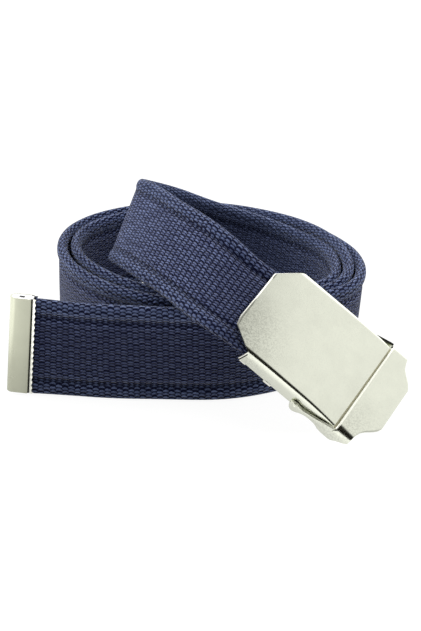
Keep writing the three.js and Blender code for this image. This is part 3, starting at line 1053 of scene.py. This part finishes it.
def lever_rows():
    """For each row of the lever's plate, its shares of the way over the lip and over the rest."""
    even = np.linspace(0, 1, LEVER_ROWS)
    return np.concatenate([[0, 0.5], np.ones(LEVER_ROWS)]), np.concatenate([[0, 0], even])


def lever_laid(inward, near, lip, share):
    """Distance along the buckle of points of the lever's plate, and how far its lip drops there."""
    end = np.interp(inward, *np.array(LEVER_END).T)
    to_middle = np.interp(inward, [0, LEVER_OUTSIDE / 2], [0, 0.5])
    wide = np.interp(np.where(near, 1 - to_middle, to_middle), [0, 1], LEVER_LIP)
    along = LEVER_START + wide * lip + (end - LEVER_START - wide) * share
    return along, wide * (1 - lip)


def lever_plate(lip, share):
    """The lever's plate with its two rounded folds, as a thin sheet."""
    fold = bend_profile(LEVER_BEND, 9)
    half = np.concatenate([fold[:, 0], LEVER_COLUMNS])
    folded = np.concatenate([fold[:, 1], np.zeros(len(LEVER_COLUMNS))])
    obj, row, column = grid("lever_plate", len(lip), 2 * len(half))
    near = column >= len(half)
    inward = np.concatenate([half, half[::-1]])[column]
    folded = np.concatenate([folded, folded[::-1]])[column]
    along, drop = lever_laid(inward, near, lip[row], share[row])
    fading = np.clip(1 - (along - LEVER_START) / LEVER_FOLD_BLEND, 0, 1) ** 1.5
    flat = LEVER_END[-1][0]
    in_fold = np.minimum(inward / LEVER_BEND, (flat - inward) / (flat - LEVER_BEND))
    inward = inward + LEVER_FOLD_WIDER * fading * near * np.clip(in_fold, 0, 1)
    across = np.where(near, LEVER_OUTSIDE - inward, inward - LEVER_OVERHANG)
    depth = folded + drop * (1 - folded / LEVER_BEND)
    lay_out(obj, buckle_point(along, across, depth))
    return obj


def lever_ear(near, lip, share):
    """One side of the lever under its fold, as a thin outline."""
    top, _ = lever_laid(0.0, near, lip, share)
    along, depth = np.array([(x, LEVER_BEND) for x in top] + EAR_OUTLINE).T
    across = LEVER_OUTSIDE if near else -LEVER_OVERHANG
    return polygon("ear", buckle_point(along, across, depth))


def paint_lever(obj):
    """A painted highlight on the lip, wear on the near fold's rim, and painted shade on the far ear's
    rim.
    """
    along, across, depth, ahead, side, up = buckle_faces(obj)
    lip = (ahead < -0.4) & (up > 0.3) & (depth < LIP_DEPTH)
    ear = (across < 0) & (depth < FAR_EAR_DARK) & (side < FACING)
    under = along < LEVER_START
    paint(obj, NICKEL_HIGHLIGHT, lip & (along < LEVER_START + 1))
    paint(obj, NICKEL_RIM, under & (across > FRAME_WIDTH) & (up > FACING))
    paint(obj, NICKEL_SHADE, under & ear)


def lever_shell():
    """The lever's plate, its rounded folds and its two ears, from one sheet."""
    rows = lever_rows()
    obj = join("lever_shell", lever_plate(*rows), lever_ear(False, *rows), lever_ear(True, *rows))
    give_looks(obj, NICKEL_LEVER, NICKEL_SHADE, NICKEL_RIM, NICKEL_HIGHLIGHT)
    edit(obj, merged(WELD), outward())
    sheet_metal(obj, SHEET)
    round_edges(obj, 0.22, segments=3, angle=50)
    edit(obj, merged(), outward())
    paint_lever(obj)
    into_buckle(obj)
    return obj


def rivet(name, near):
    """A low domed rivet head with a sunk ring."""
    add = bpy.ops.mesh.primitive_cylinder_add
    obj = primitive(name, add, vertices=32, radius=RIVET_RADIUS * MM, depth=RIVET_HEAD * MM)
    mode("EDIT")
    bpy.ops.mesh.select_all(action="DESELECT")
    mode("OBJECT")
    for face in obj.data.polygons:
        face.select = face.normal.z > FACING
    mode("EDIT")
    bpy.ops.mesh.select_mode(type="FACE")
    for wide, high in RIVET_RINGS:
        bpy.ops.mesh.inset(thickness=wide * MM, depth=high * MM)
    bpy.ops.mesh.select_mode(type="VERT")
    mode("OBJECT")
    round_edges(obj, 0.12)
    lift = LEVER_OVERHANG + RIVET_GAP + RIVET_HEAD / 2
    across = FRAME_WIDTH + lift if near else -lift
    turn = Matrix.Rotation(math.radians(90 if near else -90), 4, "X")
    spot = buckle_point(PIVOT_ALONG, across, PIVOT_DEPTH)[0]
    obj.data.transform(Matrix.Translation(Vector(spot)) @ turn)
    into_buckle(obj, angle=32)
    return obj


def clamp_jaw():
    """The clamp's plate, with tabs that stand out under the side walls and at the belt end."""
    parts = []
    for start, end, top, bottom, spans in JAW_BLOCKS:
        for low, high in spans:
            block = primitive("block", bpy.ops.mesh.primitive_cube_add, size=1)
            least = np.array([start, low, top])
            most = np.array([end, high, bottom])
            along, across, depth = (least + (most - least) * (places_of(block) + 0.5)).T
            lay_out(block, buckle_point(along, across, depth))
            edit(block, outward())
            parts.append(block)
    obj = join("clamp_jaw_plate", *parts)
    round_edges(obj, 0.3, segments=3)
    into_buckle(obj)
    return obj


def tip_frame():
    """The place and turn of the tip: in along the strap, to its side, and up."""
    x, y, z, *lean = standing_row(*FREE_ROWS[-1])
    up = Vector(lean).normalized()
    inward = Vector((FREE_ROWS[-2][0] - x, FREE_ROWS[-2][1] - y, 0)).normalized()
    side = up.cross(inward).normalized()
    turn = Matrix((side.cross(up), side, up)).transposed().to_4x4()
    spot = Vector((x - MIDDLE[0], y - MIDDLE[1], z + TIP_LIFT)) * MM
    return Matrix.Translation(spot) @ turn


def end_flap(top, front):
    """One of the two flaps bent over an end of the cap, with a slot between them."""
    turn = np.linspace(math.pi / 2, math.pi, 8)[:-1]
    radius = TIP_SECTION[-1][1] - FLAP_INSIDE
    outline = [*FLAP_CORNER, (FLAP_CORNER_IN, radius)]
    outline += [(math.cos(angle) * radius, math.sin(angle) * radius) for angle in turn]
    inward, side = np.array([*outline, (-radius, FLAP_SLOT), *FLAP_NOTCH]).T
    side = -side if front else side
    height = TIP_HALF_HIGH - FLAP_SUNK if top else TIP_SHEET + FLAP_SUNK - TIP_HALF_HIGH
    flap = polygon("flap", np.column_stack([inward, side, np.full(len(inward), height)]) * MM)
    thicken_down(flap, TIP_SHEET)
    return flap


def tip_cap():
    """A sheet folded round the free end, with a groove and a toothed lip that bites the cloth."""
    turn = np.linspace(math.pi / 2, 3 * math.pi / 2, 15)
    bend = np.column_stack([np.cos(turn), np.sin(turn)]) * TIP_SECTION[-1][1]
    half = np.array(TIP_SECTION)
    outline = np.vstack([half, bend, (half * [1, -1])[::-1]])
    heights = np.linspace(-TIP_HALF_HIGH, TIP_HALF_HIGH, TIP_ROWS)
    obj, row, column = grid("tip_cap", len(heights), len(outline))
    inward, side = outline[column].T
    from_lip = np.minimum(column, len(outline) - 1 - column)
    tooth = row % TIP_TOOTH_ROWS < TIP_TOOTH_ROWS / 2
    inward = inward + np.where((from_lip < TIP_TOOTH_DEEP) & tooth, TIP_TOOTH, 0.0)
    lay_out(obj, np.column_stack([inward, side, heights[row]]) * MM)
    give_looks(obj, NICKEL_TIP_SHADE, NICKEL_SHADE, NICKEL_HIGHLIGHT)
    first, last = TIP_GROOVE
    low, high = over_faces(obj, from_lip)
    # Painted highlight on the toothed lip, and painted shade in the groove.
    paint(obj, NICKEL_HIGHLIGHT, high <= first)
    paint(obj, NICKEL_SHADE, (low >= first) & (high <= last))
    edit(obj, outward())
    sheet_metal(obj, TIP_SHEET)
    flaps = [end_flap(top, front) for top in (False, True) for front in (False, True)]
    obj = join("tip_cap", obj, *flaps)
    round_edges(obj, 0.08, segments=1, angle=60)
    obj.data.transform(tip_frame())
    places = places_of(obj)
    places[:, 0] -= TIP_LEAN * (MM - places[:, 2] / WEB_WIDTH)
    lay_out(obj, places)
    smooth(obj, angle=40)
    return obj


# The set: camera, floor and light.
def camera():
    """The camera that was fitted to the photograph."""
    data = bpy.data.cameras.new("camera")
    data.sensor_width = SENSOR
    data.lens = FOCAL_PIXELS * SENSOR / IMAGE_HEIGHT
    obj = bpy.data.objects.new("camera", data)
    obj.location = Vector(CAMERA_PLACE) * MM
    obj.rotation_euler = (math.radians(90 - CAMERA_DOWN), 0, 0)
    bpy.context.collection.objects.link(obj)
    bpy.context.scene.camera = obj


def floor():
    """A white sweep that glows, brighter in front of the belt and to its left as painted pools of
    light.
    The camera sees it evenly lit, with a faint shadow round the belt.
    """
    obj = primitive("floor", bpy.ops.mesh.primitive_plane_add, size=FLOOR_SIZE)
    look = Look(bpy.data.materials.new("floor_white"))
    x, y, _ = look.parts()
    left = x.between(*FLOOR_LEFT) * FLOOR_LEFT_BRIGHTER
    front = y.between(*FLOOR_FRONT) * FLOOR_FRONT_BRIGHTER
    glow = look.add("ShaderNodeEmission", None, left + front + FLOOR_GLOW)
    paper = look.add("ShaderNodeBsdfDiffuse", FLOOR_COLOUR)
    lit = 0.0
    for out, share in FLOOR_EVEN.items():
        lit = (look.add("ShaderNodeLightPath", out=out) * share).maths("MAXIMUM", lit)
    give_looks(obj, look.end(look.add("ShaderNodeMixShader", lit, paper, glow)))


def studio():
    """A white tent, darker overhead and with a dark room behind the camera for the folds to show."""
    world = bpy.data.worlds.new("studio")
    bpy.context.scene.world = world
    look = Look(world)
    direction = look.parts(look.add("ShaderNodeTexCoord"))
    light = TENT_LEFT
    for part, start, full, colour in TENT_SIDES:
        light = look.mix(direction[part].between(start, full), light, colour)
    front = look.mix(direction[1].between(*TENT_FRONT_Y), light, TENT_FRONT)
    light = look.mix(direction[2].between(*TENT_FRONT_Z), light, front)
    look.end(look.add("ShaderNodeBackground", light), "ShaderNodeOutputWorld")


def lamp(name, place, aim, size, power):
    """A soft square lamp that the metal doesn't mirror."""
    data = bpy.data.lights.new(name, "AREA")
    data.size = size
    data.energy = power
    obj = bpy.data.objects.new(name, data)
    obj.location = place
    obj.rotation_euler = (Vector(aim) - Vector(place)).to_track_quat("-Z", "Y").to_euler()
    obj.visible_glossy = False
    bpy.context.collection.objects.link(obj)


camera()
floor()
studio()
for row in LAMPS:
    lamp(*row)
bpy.context.scene.view_settings.view_transform = "Standard"

CANVAS = canvas_look()
NICKEL = nickel_look("satin_nickel")
NICKEL_FACE = nickel_look("shaded_face", shade_patch=FACE_SHADE)
NICKEL_LEVER = nickel_look("shaded_lever", shade_patch=LEVER_SHADE)
NICKEL_TIP_SHADE = nickel_look("shaded_tip_nickel", TIP_SHADE_COLOUR, speckle=0.2, roughness=0.26, shaded=SHADED_TIP)
NICKEL_HIGHLIGHT = nickel_look("painted_highlight", HIGHLIGHT_COLOUR, speckle=0.0, roughness=0.3)
NICKEL_DULL = nickel_look("dull_nickel", DULL_COLOUR, speckle=0.8, roughness=0.3)
NICKEL_GAP_SHADE = nickel_look("gap_shade_nickel", GAP_SHADE_NICKEL_COLOUR, speckle=0.3, roughness=0.35)
NICKEL_RIM = nickel_look("worn_rim", DULL_COLOUR, speckle=1.0, roughness=0.6)
NICKEL_SHADE = nickel_look("painted_shade", SHADE_NICKEL_COLOUR, speckle=0.0, roughness=0.6)

cloth, length = webbing()
wear(cloth, CANVAS, "belt", "canvas", "webbing")
length * MM

wear(pressed_frame(), None, "belt", "nickel", "buckle_frame")
wear(lever_shell(), None, "lever", "nickel", "lever")
wear(rivet("rivet_head_near", True), NICKEL, "lever", "nickel", "rivet_near")
wear(rivet("rivet_head_far", False), NICKEL, "lever", "nickel", "rivet_far")
wear(tip_cap(), None, "belt", "nickel", "belt_tip")

# The clamp's plate wears the whiter copy of the nickel, a painted highlight.
wear(clamp_jaw(), NICKEL_HIGHLIGHT, "belt", "nickel", "clamp_jaw")
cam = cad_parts["lever_cam"]
cam.data.materials.clear()
give_looks(cam, NICKEL_DULL)
